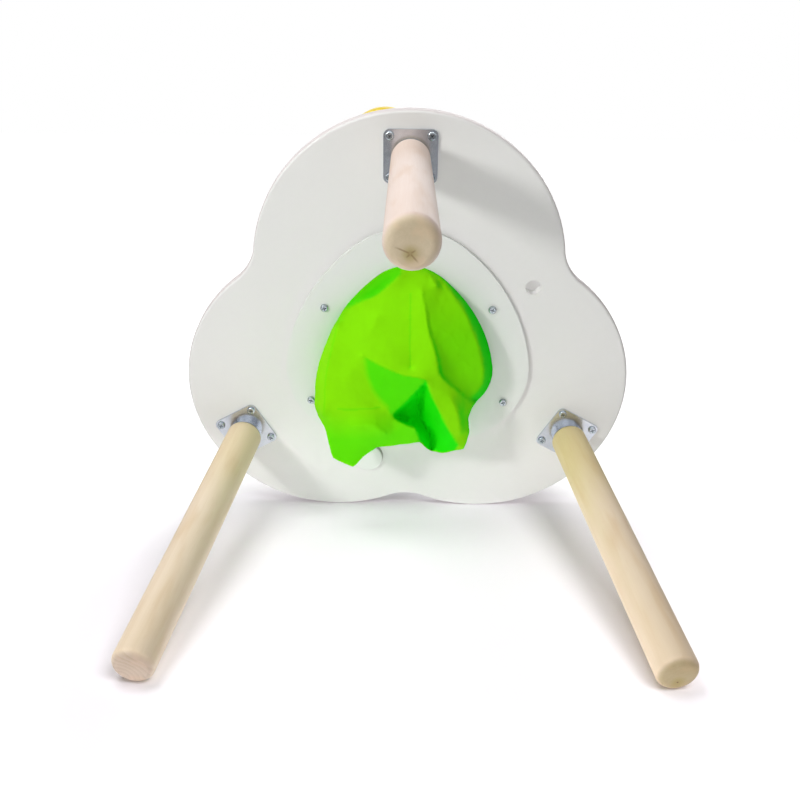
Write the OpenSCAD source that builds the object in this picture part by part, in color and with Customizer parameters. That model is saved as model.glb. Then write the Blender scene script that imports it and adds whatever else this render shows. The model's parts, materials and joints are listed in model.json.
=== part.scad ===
// Baby activity table: a three-lobed white board on three splayed wooden legs.
// A shape sorter lies in the middle of the play side and drops its blocks into a fabric bag
// that a screwed ring holds under the board. A spinner, a gear train and a bead rail stand on the lobes.
// Millimetres, +Z up, floor at z = 0. One lobe points to the front (-Y).

/* [Board] */
// Height of the play surface above the floor
table_h = 337.5; // [300:0.5:400]
// Thickness of the board
board_t = 12; // [11:0.5:18]
// Rounding of the board's edges
board_edge_r = 3; // [1:0.5:5]
// Distance from the middle of the board to the centre of each lobe
lobe_offset = 88.7; // [82:0.1:96]
// Radius of each lobe
lobe_r = 152.4; // [146:0.1:165]
// Radius of the hollow curve between two lobes
notch_r = 53.5; // [40:0.5:70]
// How far that curve's circle runs into the circles of the lobes
notch_bite = 0.3; // [0.2:0.1:0.6]
// Diameter of the stick hole near the right-hand notch
stick_hole_d = 15; // [10:0.5:20]
// Distance from that notch to the middle of the stick hole
stick_hole_in = 40; // [30:0.5:50]
// Depth of the stick hole, which doesn't reach the play surface
stick_hole_deep = 10; // [6:0.5:10]

/* [Bag opening] */
// Distance from the middle to each rounded corner of the bag's mouth
mouth_tip = 94; // [90:0.5:98]
// Distance from the middle to each side of the bag's mouth
mouth_side = 79; // [77:0.5:82]
// Radius of the mouth's corners
mouth_corner_r = 49; // [45:0.5:51]
// How far the corner circles stand out past the sides where the two meet
corner_bite = 0.1; // [0.1:0.05:0.3]
// Width of the ring around the mouth
ring_w = 37; // [30:0.5:42]
// Thickness of the ring
ring_t = 4; // [3:0.5:6]
// Distance from a mouth corner to the ring screw beyond it
tip_screw_in = 22.5; // [17:0.5:26]
// Distance from a mouth side to the ring screw beyond it
side_screw_in = 17.5; // [16.5:0.5:24]

/* [Catch bag] */
// Thickness of the bag's cloth
bag_wall = 1; // [0.8:0.1:1.5]
// Width of the bag's hem clamped by the ring
bag_hem = 12; // [8:0.5:13]
// Gap between the bag's cloth and the ring
cloth_gap = 0.5; // [0.3:0.1:1]
// How far the bag hangs below the board
bag_depth = 86; // [70:1:120]
// Half width of the bag's sewn bottom
bag_base_w = 66; // [50:1:75]
// Half depth of the bag's sewn bottom
bag_base_d = 54; // [40:1:65]
// How far the bag's bottom has flopped to the left
bag_lean_left = 10; // [0:1:20]
// How far the bag's bottom has flopped to the back
bag_lean_back = 34; // [0:1:40]

/* [Sorter lid] */
// Thickness of the lid
lid_t = 6; // [4:0.5:7]
// Width of the ledge that carries the lid
lid_ledge = 8; // [5:0.5:11]
// Gap around the lid
lid_gap = 0.5; // [0.3:0.1:1]
// Distance from the middle of the lid to the middle of each shape hole
sort_ring_r = 47; // [42:0.5:50]
// Radius of the round hole
sort_round_r = 21; // [16:0.5:24]
// Side of the square hole
sort_square_w = 37; // [30:0.5:40]
// Corner radius of the triangular hole's circle
sort_triangle_r = 26; // [20:0.5:30]

/* [Leg plates] */
// Side of each square plate
plate_w = 50; // [44:0.5:56]
// Thickness of the plates
plate_t = 2; // [1.5:0.1:3]
// Corner radius of the plates
plate_corner_r = 6; // [3:0.5:8]
// Distance from the lobe's rim to the middle of its plate
plate_in = 41.6; // [36:0.1:50]
// Spacing of the plate's screws
plate_pitch = 38.4; // [35:0.1:42]
// Radius of the pressed boss
boss_r = 16; // [14.5:0.5:17]
// Depth of the boss's face below the board, at its middle
boss_h = 8; // [7.6:0.1:12]
// Wall of the boss
boss_wall = 2.5; // [1.5:0.1:2.8]

/* [Legs] */
// Radius of the legs
leg_r = 18; // [16:0.5:22]
// Rounding of the legs' upper ends
leg_top_r = 5; // [2:0.5:7]
// Rounding of the feet
foot_round = 7; // [4:0.5:7.5]
// Depth of the small flat worn on each foot
foot_flat = 0.5; // [0.3:0.1:1]
// Outward lean of the front leg in degrees
front_splay = 7.2; // [3:0.1:12]
// Outward lean of the two rear legs in degrees
rear_splay = 8.5; // [3:0.1:12]
// Turn of the rear legs' lean towards the sides in degrees
rear_turn = 7.6; // [0:0.1:15]

/* [Fasteners] */
// Diameter of the screws
screw_d = 4; // [3:0.5:4.5]
// Diameter of the screw heads
screw_head_d = 8; // [6.5:0.5:9]
// Height of the screw heads
screw_head_h = 2.6; // [2:0.1:3]
// Length of the screws under the head
screw_len = 10; // [8:0.5:10.5]
// Diameter of the leg bolts
bolt_d = 8; // [6:0.5:9]
// Length of each bolt inside its leg
bolt_in_leg = 32; // [20:1:60]
// Width of the welded nuts across flats
nut_w = 13; // [11:0.5:14]
// Thickness of the welded nuts
nut_t = 4; // [3:0.1:4.2]

/* [Turning toys] */
// Thickness of the spinner and the gears
toy_t = 12; // [8:0.5:16]
// Radius of the round spinner
spinner_r = 36.5; // [30:0.5:40]
// Distance of the spinner's middle to the left of the front lobe's middle line
spinner_left = 23; // [15:0.5:30]
// Gap between the spinner's rim and the board's rim
spinner_rim_gap = 0.3; // [0:0.1:10]
// Diameter of the pegs and of the axle
peg_d = 10; // [8:0.5:12]
// Board left under each peg's hole
peg_floor = 4; // [2:0.5:5]
// Diameter of the caps on the pegs
peg_cap_d = 24; // [20:0.5:28]
// Height of the caps on the pegs
peg_cap_h = 7; // [6.5:0.5:10]
// Gear module: pitch diameter over number of teeth
gear_m = 5; // [4.5:0.1:5.3]
// Teeth of the drive gear
drive_teeth = 12; // [10:1:13]
// Teeth of the middle gear
middle_teeth = 14; // [12:1:15]
// Teeth of the small gear
small_teeth = 10; // [9:1:12]
// Play between two gears' teeth
gear_play = 0.8; // [0.6:0.1:1.2]
// Distance from the middle of the board to the drive gear's axle
drive_out = 138; // [135:0.5:140]
// Turn of the drive gear's place from the rear notch towards the left in degrees
drive_turn = 18; // [12:0.5:22]
// Direction from the drive gear to the middle gear in degrees
middle_dir = 204; // [200:0.5:206]
// Direction from the middle gear to the small gear in degrees
small_dir = 214; // [208:0.5:220]
// Diameter of the cap that holds the drive axle under the board
axle_cap_d = 33; // [26:0.5:38]
// Thickness of that cap
axle_cap_t = 4; // [3:0.5:6]
// Diameter of the drive gear's knob
knob_d = 12; // [10:0.5:12]
// Height of the knob above the gear
knob_h = 24; // [16:1:30]
// Gap between the knob and the head of the drive axle
knob_gap = 0.6; // [0.4:0.1:2]

/* [Bead rail] */
// Distance from the right-hand lobe's rim to the rail
rail_in = 76; // [62:0.5:90]
// Distance between the two posts
rail_len = 130; // [110:1:150]
// Diameter of the posts
post_d = 16; // [14:0.5:20]
// Height of the posts above the board
post_h = 42; // [38:0.5:60]
// Diameter of the rod
rod_d = 8; // [6:0.5:10]
// Height of the rod above the board
rod_h = 30; // [26:0.5:32]
// Diameter of the beads
bead_d = 30; // [24:0.5:34]
// Length of the beads
bead_w = 18; // [14:0.5:20]

/* [Fits] */
// Radial clearance of what turns or slides
run_gap = 0.08; // [0.04:0.01:0.1]
// Radial clearance of what is glued or screwed
fix_gap = 0.05; // [0.02:0.01:0.1]
// Gap between faces that move past each other
face_gap = 0.3; // [0.2:0.05:0.5]

/* [Hidden] */
$fn = 96;

// Legs in the order front, left, right: direction of the lobe, lean and direction of the lean
LOBE_A = [270, 150, 30];
SPLAY = [front_splay, rear_splay, rear_splay];
HEADING = [270, 150 + rear_turn, 30 - rear_turn];
// Directions of the three notches
NOTCH_A = [90, 210, 330];

function polar(r, a) = r * [cos(a), sin(a)];
under_z = table_h - board_t;
rim_r = lobe_offset + lobe_r;
plate_ring_r = rim_r - plate_in;
notch_c = lobe_offset / 2 + sqrt(pow(lobe_r + notch_r - notch_bite, 2) - 0.75 * lobe_offset * lobe_offset);
notch_reach = notch_c - notch_r;

// Leg length that brings the foot's lowest edge to the floor
function leg_len(s) = foot_round + (under_z - boss_h + foot_flat - foot_round
    - (leg_r - foot_round) * sin(s)) / cos(s);
// Farthest reach of a leaning foot from the middle of its plate
function leg_reach(s) = (leg_len(s) - foot_round) * sin(s) + (leg_r - foot_round) * cos(s) + foot_round;

// The board's middle lies behind the origin, which is below the middle of the whole table
mid_y = (max(plate_ring_r + leg_reach(front_splay), rim_r) - lobe_offset / 2 - lobe_r) / 2;

// Rounded triangle of the mouth: corner circles and the flat side arcs that run into them
corner_c = mouth_tip - mouth_corner_r;
touch_r = mouth_corner_r - corner_bite;
side_rise = mouth_side - touch_r;
side_x = (corner_c * corner_c - side_rise * side_rise) / (2 * side_rise - corner_c);
side_r = side_x + mouth_side;
touch_x = (corner_c + side_x / 2) / (side_x + side_rise);
touch_y = (side_x * sin(60)) / (side_x + side_rise);
function touch_d(g) = corner_c + (touch_r + g) * touch_x;
function touch_a(g) = atan2((touch_r + g) * touch_y, touch_d(g));

lid_z = table_h - lid_t;
toy_z = table_h + face_gap;
toy_top = toy_z + toy_t;
peg_in = board_t - peg_floor;
peg_r = peg_d / 2;
knob_out = peg_cap_d / 2 + knob_gap + knob_d / 2;
gear_add = 0.8 * gear_m;
spinner_out = sqrt(lobe_r * lobe_r - spinner_left * spinner_left) - spinner_r - spinner_rim_gap;
spinner_y = -lobe_offset - spinner_out;
drive_xy = polar(drive_out, 90 + drive_turn);
middle_xy = drive_xy + polar(gear_m * (drive_teeth + middle_teeth) / 2, middle_dir);
small_xy = middle_xy + polar(gear_m * (middle_teeth + small_teeth) / 2, small_dir);
middle_phase = mesh_phase(middle_dir, 0, drive_teeth, middle_teeth);
small_phase = mesh_phase(small_dir, middle_phase, middle_teeth, small_teeth);
rail_out = rim_r - rail_in;
bead_step = (rail_len - post_d) / 3;

// Turn of a gear that meshes with another one, which is turned by p and lies in direction d - 180
function mesh_phase(d, p, z1, z2) = d + 180 - (0.5 - (d - p) * z1 / 360) * 360 / z2;

// What a rounding takes off a lower right corner at the origin
module corner_cut(r) {
    difference() {
        translate([-r, -1]) square(r + 1);
        translate([-r, r]) circle(r = r);
    }
}

// Solid of revolution with a rounding at its lower and its upper edge
module turned(r, h, low, high) {
    rotate_extrude() difference() {
        square([r, h]);
        translate([r, 0]) corner_cut(low);
        translate([r, h]) mirror([0, 1]) corner_cut(high);
    }
}

module rounded_square(w, r) {
    square([w - 2 * r, w], center = true);
    square([w, w - 2 * r], center = true);
    for (x = [-1, 1], y = [-1, 1]) translate([x * (w / 2 - r), y * (w / 2 - r)]) circle(r = r);
}

// The mouth's outline, grown by g all round
module mouth_outline(g = 0) {
    for (a = LOBE_A) translate(polar(corner_c, a)) circle(r = mouth_corner_r + g);
    intersection() {
        translate(polar(-side_x, NOTCH_A[0])) circle(r = side_r + g, $fn = 180);
        translate(polar(-side_x, NOTCH_A[1])) circle(r = side_r + g, $fn = 180);
        translate(polar(-side_x, NOTCH_A[2])) circle(r = side_r + g, $fn = 180);
        rotate(90) circle(r = 2 * touch_d(g), $fn = 3);
    }
}

// Tool that rounds the hollow curve between two lobes
module notch_cutter() {
    e = board_edge_r;
    rotate_extrude() difference() {
        translate([0, -1]) square([notch_r + e, board_t + 2]);
        translate([notch_r + e, e]) circle(r = e);
        translate([notch_r + e, board_t - e]) circle(r = e);
        translate([notch_r, e]) square([e + 1, board_t - 2 * e]);
    }
}

// Part of the board between two lobes, up to the hollow curve
module notch_fill(a) {
    difference() {
        linear_extrude(board_t)
            polygon([[0, 0], polar(lobe_offset, a - 60), polar(notch_c, a), polar(lobe_offset, a + 60)]);
        translate(polar(notch_c, a)) notch_cutter();
    }
}

module ring_screw_places() {
    for (a = LOBE_A) rotate(a) translate([mouth_tip + tip_screw_in, 0, under_z - ring_t]) children();
    for (a = NOTCH_A) rotate(a) translate([mouth_side + side_screw_in, 0, under_z - ring_t]) children();
}

module plate_place(i) {
    rotate(LOBE_A[i]) translate([plate_ring_r, 0, under_z]) children();
}

module plate_screw_places(i) {
    plate_place(i) for (x = [-1, 1], y = [-1, 1])
        translate([x * plate_pitch / 2, y * plate_pitch / 2, -plate_t]) children();
}

// Frame on a boss's face, with the leg running down its -Z
module leg_place(i) {
    plate_place(i) translate([0, 0, -boss_h]) rotate(HEADING[i] - LOBE_A[i])
        rotate([0, -SPLAY[i], 0]) children();
}

module table_top() {
    color("whitesmoke") translate([0, mid_y, 0]) difference() {
        translate([0, 0, under_z]) {
            for (a = LOBE_A) translate(polar(lobe_offset, a))
                turned(lobe_r, board_t, board_edge_r, board_edge_r);
            for (a = NOTCH_A) notch_fill(a);
        }
        translate([0, 0, under_z - 1]) linear_extrude(board_t + 2) mouth_outline();
        translate([0, 0, lid_z]) linear_extrude(lid_t + 1) mouth_outline(lid_ledge);
        rotate(NOTCH_A[2]) translate([notch_reach - stick_hole_in, 0, under_z - 1])
            cylinder(d = stick_hole_d, h = stick_hole_deep + 1);
        translate([drive_xy[0], drive_xy[1], under_z - 1]) cylinder(r = peg_r + run_gap, h = board_t + 2);
        for (p = [[-spinner_left, spinner_y], middle_xy, small_xy])
            translate([p[0], p[1], table_h - peg_in]) cylinder(r = peg_r + fix_gap, h = peg_in + 1);
        rail_ends() translate([0, 0, -peg_in]) cylinder(r = post_d / 2 + fix_gap, h = peg_in + 1);
        ring_screw_places() screw_hole();
        for (i = [0:2]) plate_screw_places(i) screw_hole();
    }
}

// Hole for a screw, through what it holds and into the board
module screw_hole() {
    translate([0, 0, -1]) cylinder(d = screw_d + 2 * fix_gap, h = screw_len + 1 + face_gap);
}

module screw() {
    slot_w = screw_d / 4;
    slot_l = screw_head_d * 0.6;
    flat_r = (screw_head_d - screw_head_h) / 2;
    tip = screw_d / 2;
    difference() {
        union() {
            translate([0, 0, -screw_head_h]) rotate_extrude() {
                translate([0, screw_head_h / 2]) square([screw_head_d / 2, screw_head_h / 2]);
                square([flat_r, screw_head_h]);
                translate([flat_r, screw_head_h / 2]) circle(d = screw_head_h, $fn = 48);
            }
            translate([0, 0, -0.1]) cylinder(d = screw_d, h = screw_len - tip + 0.1);
            translate([0, 0, screw_len - tip]) cylinder(d1 = screw_d, d2 = screw_d / 4, h = tip);
        }
        for (a = [45, 135]) rotate(a) translate([0, 0, -screw_head_h])
            cube([slot_l, slot_w, screw_head_h], center = true);
    }
}

module ring_screws() {
    color("silver") translate([0, mid_y, 0]) ring_screw_places() screw();
}

module plate_screws() {
    color("silver") translate([0, mid_y, 0]) for (i = [0:2]) plate_screw_places(i) screw();
}

module bag_ring() {
    color("white") translate([0, mid_y, 0]) difference() {
        translate([0, 0, under_z - ring_t]) linear_extrude(ring_t) difference() {
            mouth_outline(ring_w);
            mouth_outline();
        }
        translate([0, 0, under_z - bag_wall]) linear_extrude(bag_wall + 1) mouth_outline(bag_hem);
        ring_screw_places() screw_hole();
    }
}

// Catch bag: a loft from the mouth's rounded triangle to the flopped, squarish sewn bottom
BAG_SIDES = 48;
BAG_STEPS = 10;
BAG_SQUARE = 4;
function ease(u) = u * u * (3 - 2 * u);
function from_tip(a) = abs((a + 90 + 60) % 120 - 60);
function tip_radius(p, g) = corner_c * cos(p)
    + sqrt(pow(mouth_corner_r + g, 2) - pow(corner_c * sin(p), 2));
function side_radius(q, g) = sqrt(pow(side_r + g, 2) - pow(side_x * sin(q), 2)) - side_x * cos(q);
function mouth_radius(a, g) = let (p = from_tip(a))
    p < touch_a(g) ? tip_radius(p, g) : max(tip_radius(p, g), side_radius(60 - p, g));
function base_radius(a, g) = pow(pow(abs(cos(a)) / (bag_base_w + g), BAG_SQUARE)
    + pow(abs(sin(a)) / (bag_base_d + g), BAG_SQUARE), -1 / BAG_SQUARE);
function close_in(u) = u < 0.8 ? 1 : sqrt(1 - 0.55 * pow((u - 0.8) / 0.2, 2));
// One ring of the cloth: u runs from the ring's underside to the bottom, g moves the face in or out
function bag_ring_points(u, g, lift) = let (w = ease(min(1, u / 0.75)), s = close_in(u))
    [for (k = [0:BAG_SIDES - 1]) let (a = 360 * k / BAG_SIDES,
        r = s * ((1 - w) * mouth_radius(a, g - cloth_gap) + w * base_radius(a, g)))
        [-w * bag_lean_left + r * cos(a), w * bag_lean_back + r * sin(a),
            under_z - ring_t - u * (bag_depth - ring_t) + lift]];
function hem_points(g, z) = [for (k = [0:BAG_SIDES - 1])
    let (a = 360 * k / BAG_SIDES, r = mouth_radius(a, g - cloth_gap)) [r * cos(a), r * sin(a), z]];

module catch_bag() {
    steps = BAG_STEPS;
    outer = [for (j = [steps:-1:0]) bag_ring_points(j / steps, 0, 0)];
    hem = [hem_points(0, under_z - bag_wall), hem_points(bag_hem, under_z - bag_wall),
        hem_points(bag_hem, under_z), hem_points(-bag_wall, under_z)];
    inner = [for (j = [0:steps]) bag_ring_points(j / steps, -bag_wall, j == steps ? bag_wall : 0)];
    rings = concat(outer, hem, inner);
    n = BAG_SIDES;
    last = len(rings) - 1;
    floor_z = under_z - bag_depth;
    points = concat([for (ring = rings) for (p = ring) p], [[-bag_lean_left, bag_lean_back, floor_z],
        [-bag_lean_left, bag_lean_back, floor_z + bag_wall]]);
    low = n * (last + 1);
    faces = concat(
        [for (j = [0:n:n * (last - 1)]) for (k = [0:n - 1]) [j + k, j + n + k, j + n + (k + 1) % n]],
        [for (j = [0:n:n * (last - 1)]) for (k = [0:n - 1]) [j + k, j + n + (k + 1) % n, j + (k + 1) % n]],
        [for (k = [0:n - 1]) [low, k, (k + 1) % n]],
        [for (k = [0:n - 1]) [low + 1, last * n + (k + 1) % n, last * n + k]]);
    color("lawngreen") translate([0, mid_y, 0]) polyhedron(points, faces, 4);
}

// Space on the board's side of a boss's face, moved up by a wall
module above_face(i, wall) {
    translate([0, 0, -boss_h]) rotate(HEADING[i] - LOBE_A[i]) rotate([0, -SPLAY[i], 0])
        translate([-plate_w, -plate_w, wall]) cube([2 * plate_w, 2 * plate_w, plate_w]);
}

module leg_plate(i) {
    color("silver") translate([0, mid_y, 0]) difference() {
        plate_place(i) difference() {
            union() {
                translate([0, 0, -plate_t]) linear_extrude(plate_t) rounded_square(plate_w, plate_corner_r);
                intersection() {
                    translate([0, 0, -2 * boss_h]) cylinder(r = boss_r, h = 2 * boss_h - plate_t / 2);
                    above_face(i, 0);
                }
            }
            intersection() {
                translate([0, 0, -2 * boss_h]) cylinder(r = boss_r - boss_wall, h = 2 * boss_h + 1);
                above_face(i, boss_wall);
            }
        }
        leg_place(i) translate([0, 0, -1]) cylinder(d = bolt_d + 2 * fix_gap, h = boss_wall + 2);
        plate_screw_places(i) screw_hole();
    }
}

module leg_plate_front() {
    leg_plate(0);
}

module leg_plate_left() {
    leg_plate(1);
}

module leg_plate_right() {
    leg_plate(2);
}

module leg_nuts() {
    color("gainsboro") translate([0, mid_y, 0]) for (i = [0:2])
        leg_place(i) translate([0, 0, boss_wall]) difference() {
            cylinder(d = nut_w / cos(30), h = nut_t, $fn = 6);
            translate([0, 0, -1]) cylinder(d = bolt_d + 2 * fix_gap, h = nut_t + 2);
        }
}

module leg_bolts() {
    color("gainsboro") translate([0, mid_y, 0]) for (i = [0:2]) leg_place(i)
        translate([0, 0, -bolt_in_leg]) cylinder(d = bolt_d, h = bolt_in_leg + boss_wall + nut_t);
}

module leg(i) {
    len = leg_len(SPLAY[i]);
    color("burlywood") difference() {
        translate([0, mid_y, 0]) leg_place(i) difference() {
            translate([0, 0, -len]) turned(leg_r, len, foot_round, leg_top_r);
            translate([0, 0, -bolt_in_leg]) cylinder(d = bolt_d + 2 * fix_gap, h = bolt_in_leg + 1);
        }
        translate([-2 * rim_r, -2 * rim_r, -20]) cube([4 * rim_r, 4 * rim_r, 20]);
    }
}

module leg_front() {
    leg(0);
}

module leg_left() {
    leg(1);
}

module leg_right() {
    leg(2);
}

module sorter_lid() {
    color("lightskyblue") translate([0, mid_y, lid_z]) linear_extrude(lid_t) difference() {
        mouth_outline(lid_ledge - lid_gap);
        rotate(LOBE_A[0]) translate([sort_ring_r, 0]) circle(r = sort_round_r);
        rotate(LOBE_A[1]) translate([sort_ring_r, 0]) square(sort_square_w, center = true);
        rotate(LOBE_A[2]) translate([sort_ring_r, 0]) rotate(180) circle(r = sort_triangle_r, $fn = 3);
    }
}

module on_board(xy) {
    translate([xy[0], xy[1] + mid_y, 0]) children();
}

module peg(z, top) {
    translate([0, 0, z]) cylinder(r = peg_r, h = top - z);
}

// Cap on a peg, with the peg's end let into it
module peg_cap() {
    translate([0, 0, toy_top + face_gap]) difference() {
        turned(peg_cap_d / 2, peg_cap_h, 1, peg_cap_h / 2);
        translate([0, 0, -1]) cylinder(r = peg_r + fix_gap, h = peg_cap_h / 2 + 1);
    }
}

peg_top = toy_top + face_gap + peg_cap_h / 2;

module spinner_disc() {
    color("gold") on_board([-spinner_left, spinner_y]) translate([0, 0, toy_z]) difference() {
        turned(spinner_r, toy_t, toy_t / 3, toy_t / 3);
        translate([0, 0, -1]) cylinder(r = peg_r + run_gap, h = toy_t + 2);
    }
}

module spinner_peg() {
    color("burlywood") on_board([-spinner_left, spinner_y]) peg(table_h - peg_in, peg_top);
}

module spinner_cap() {
    color("tomato") on_board([-spinner_left, spinner_y]) peg_cap();
}

// Involute tooth flanks
PRESSURE = 25;
FLANK_STEPS = 4;
function roll(r, rb) = r <= rb ? 0 : sqrt(pow(r / rb, 2) - 1);
function involute(r, rb) = roll(r, rb) * 180 / PI - atan(roll(r, rb));
function half_tooth(r, z) = let (rp = gear_m * z / 2, rb = rp * cos(PRESSURE))
    90 / z - gear_play / 4 / rp * 180 / PI + involute(rp, rb) - involute(r, rb);
function gear_radii(z) = let (rp = gear_m * z / 2, rb = rp * cos(PRESSURE), root = rp - gear_m,
    tip = rp + gear_add, start = max(rb, root))
    concat([root], [for (k = [0:FLANK_STEPS]) start + (tip - start) * k / FLANK_STEPS]);
function gear_points(z) = let (radii = gear_radii(z), m = len(radii))
    [for (t = [0:z - 1]) for (k = [0:2 * m - 1]) let (r = k < m ? radii[k] : radii[2 * m - 1 - k],
        a = 360 / z * t + (k < m ? -1 : 1) * half_tooth(r, z)) polar(r, a)];

module gear(z, phase, gap) {
    translate([0, 0, toy_z]) difference() {
        rotate(phase) linear_extrude(toy_t) polygon(gear_points(z));
        translate([0, 0, -1]) cylinder(r = peg_r + gap, h = toy_t + 2);
    }
}

module drive_gear() {
    color("limegreen") on_board(drive_xy) difference() {
        gear(drive_teeth, 0, fix_gap);
        translate([knob_out, 0, toy_top - toy_t / 2]) cylinder(r = knob_d / 4 + fix_gap, h = toy_t);
    }
}

module drive_knob() {
    color("burlywood") on_board(drive_xy) translate([knob_out, 0, 0]) {
        translate([0, 0, toy_top - toy_t / 2]) cylinder(d = knob_d / 2, h = toy_t / 2 + 1);
        translate([0, 0, toy_top]) turned(knob_d / 2, knob_h, 1, knob_d / 5);
    }
}

module drive_axle() {
    color("burlywood") on_board(drive_xy) {
        peg(under_z - face_gap - axle_cap_t / 2, toy_top + 1);
        translate([0, 0, toy_top]) turned(peg_cap_d / 2, peg_cap_h, 1, peg_cap_h / 2);
    }
}

module axle_cap() {
    color("white") on_board(drive_xy) translate([0, 0, under_z - face_gap - axle_cap_t]) difference() {
        turned(axle_cap_d / 2, axle_cap_t, 1, 0.5);
        translate([0, 0, axle_cap_t / 2]) cylinder(r = peg_r + fix_gap, h = axle_cap_t);
    }
}

module middle_gear() {
    color("darkorange") on_board(middle_xy) gear(middle_teeth, middle_phase, run_gap);
}

module small_gear() {
    color("turquoise") on_board(small_xy) gear(small_teeth, small_phase, run_gap);
}

module gear_pegs() {
    color("burlywood") for (p = [middle_xy, small_xy]) on_board(p) peg(table_h - peg_in, peg_top);
}

module gear_caps() {
    color("tomato") for (p = [middle_xy, small_xy]) on_board(p) peg_cap();
}

// The two ends of the bead rail, on the play surface
module rail_ends() {
    for (s = [-1, 1]) rotate(LOBE_A[2]) translate([rail_out, s * rail_len / 2, table_h]) children();
}

// Frame on the rod's axis, with the rod along its Z
module rail_place(along) {
    translate([0, mid_y, 0]) rotate(LOBE_A[2]) translate([rail_out, along, table_h + rod_h])
        rotate([-90, 0, 0]) children();
}

module rail_posts() {
    color("burlywood") difference() {
        translate([0, mid_y, 0]) rail_ends() translate([0, 0, -peg_in])
            turned(post_d / 2, peg_in + post_h, 0.5, post_d / 4);
        rail_place(-rail_len / 2) cylinder(d = rod_d + 2 * fix_gap, h = rail_len);
    }
}

module rail_rod() {
    color("burlywood") rail_place(-rail_len / 2) translate([0, 0, face_gap])
        cylinder(d = rod_d, h = rail_len - 2 * face_gap);
}

module bead(k) {
    rail_place(k * bead_step - bead_w / 2) difference() {
        turned(bead_d / 2, bead_w, bead_w / 3, bead_w / 3);
        translate([0, 0, -1]) cylinder(r = rod_d / 2 + run_gap, h = bead_w + 2);
    }
}

module bead_left() {
    color("tomato") bead(1);
}

module bead_middle() {
    color("gold") bead(0);
}

module bead_right() {
    color("dodgerblue") bead(-1);
}

table_top();
bag_ring();
catch_bag();
ring_screws();
leg_plate_front();
leg_plate_left();
leg_plate_right();
plate_screws();
leg_nuts();
leg_bolts();
leg_front();
leg_left();
leg_right();
sorter_lid();
spinner_disc();
spinner_peg();
spinner_cap();
drive_gear();
drive_axle();
axle_cap();
drive_knob();
middle_gear();
small_gear();
gear_pegs();
gear_caps();
rail_posts();
rail_rod();
bead_left();
bead_middle();
bead_right();
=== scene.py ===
"""Visual model of a baby activity table that lies on its side and is seen from below.

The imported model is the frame: its bodies, nodes and joints stay where they are. This script dresses the nodes with
node-based finishes, builds the soft cloth bag, and sets the camera, the floor and the lamps.
"""

from __future__ import annotations

import json
import logging
import math
from dataclasses import dataclass, replace
from enum import Enum
from typing import Callable, Iterable, Sequence, Union

import bmesh
import bpy
import numpy as np
from mathutils import Matrix, Vector, noise
from mathutils.bvhtree import BVHTree
from mathutils.geometry import delaunay_2d_cdt

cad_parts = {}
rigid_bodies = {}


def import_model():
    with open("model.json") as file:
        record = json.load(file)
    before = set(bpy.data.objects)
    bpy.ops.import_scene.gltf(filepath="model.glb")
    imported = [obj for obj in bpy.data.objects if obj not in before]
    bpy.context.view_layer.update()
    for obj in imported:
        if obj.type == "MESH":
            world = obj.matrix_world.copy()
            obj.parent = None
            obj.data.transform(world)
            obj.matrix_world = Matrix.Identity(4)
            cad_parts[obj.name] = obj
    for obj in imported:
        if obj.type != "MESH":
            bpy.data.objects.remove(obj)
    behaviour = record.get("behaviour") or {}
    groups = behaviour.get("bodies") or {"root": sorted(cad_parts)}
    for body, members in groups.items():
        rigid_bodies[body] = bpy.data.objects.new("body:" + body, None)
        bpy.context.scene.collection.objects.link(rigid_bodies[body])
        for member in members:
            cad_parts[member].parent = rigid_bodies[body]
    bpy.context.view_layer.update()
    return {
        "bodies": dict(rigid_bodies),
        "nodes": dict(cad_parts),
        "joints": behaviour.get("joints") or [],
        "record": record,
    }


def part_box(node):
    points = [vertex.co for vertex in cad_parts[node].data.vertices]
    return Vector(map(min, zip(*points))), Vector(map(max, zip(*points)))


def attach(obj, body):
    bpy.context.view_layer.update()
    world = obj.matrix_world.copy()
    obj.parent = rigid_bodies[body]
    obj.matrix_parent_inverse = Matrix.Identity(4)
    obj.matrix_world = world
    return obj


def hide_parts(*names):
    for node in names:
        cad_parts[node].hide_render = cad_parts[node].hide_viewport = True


LOG = logging.getLogger("activity_table")
MM = 0.001
KEY = (-0.66, -0.50, -0.56)
Colour = tuple[float, float, float]
Point = tuple[float, float, float]
WHITE: Colour = (1.0, 1.0, 1.0)
X_AXIS = Vector((1.0, 0.0, 0.0))
Y_AXIS = Vector((0.0, 1.0, 0.0))
Z_AXIS = Vector((0.0, 0.0, 1.0))


def rgba(colour: Colour) -> tuple[float, float, float, float]:
    """Return a linear colour with an opaque alpha."""
    return (*colour, 1.0)


def scaled(colour: Colour, *parts: float) -> Colour:
    """Return a colour times one number, or times a number for each channel."""
    return tuple(min(1.0, c * k) for c, k in zip(colour, parts * (3 // len(parts))))


# --- Shader sums ---


def summed(operation: str, swapped: bool = False) -> Callable[..., Sock]:
    """Make one operator of the socket class.

    Args:
        operation: the Math node's operation.
        swapped: True where the socket is the second value.

    Returns:
        The operator's method.
    """

    def method(self: Sock, *others: Value) -> Sock:
        """Do the sum in the socket's own graph."""
        values = (*others, self) if swapped else (self, *others)
        return self.graph.math(operation, *values)

    return method


class Sock:
    """An output socket that takes part in sums with other sockets and numbers."""

    __add__, __radd__ = summed("ADD"), summed("ADD", True)
    __sub__, __rsub__ = summed("SUBTRACT"), summed("SUBTRACT", True)
    __mul__, __rmul__ = summed("MULTIPLY"), summed("MULTIPLY", True)
    __truediv__, __rtruediv__ = summed("DIVIDE"), summed("DIVIDE", True)
    __abs__ = summed("ABSOLUTE")

    def __init__(self, graph: Graph, socket: bpy.types.NodeSocket) -> None:
        """Wrap an output socket of a graph."""
        self.graph = graph
        self.socket = socket


Value = Union[Sock, float, int]
Input = Union[Sock, float, int, Sequence[float]]


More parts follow.
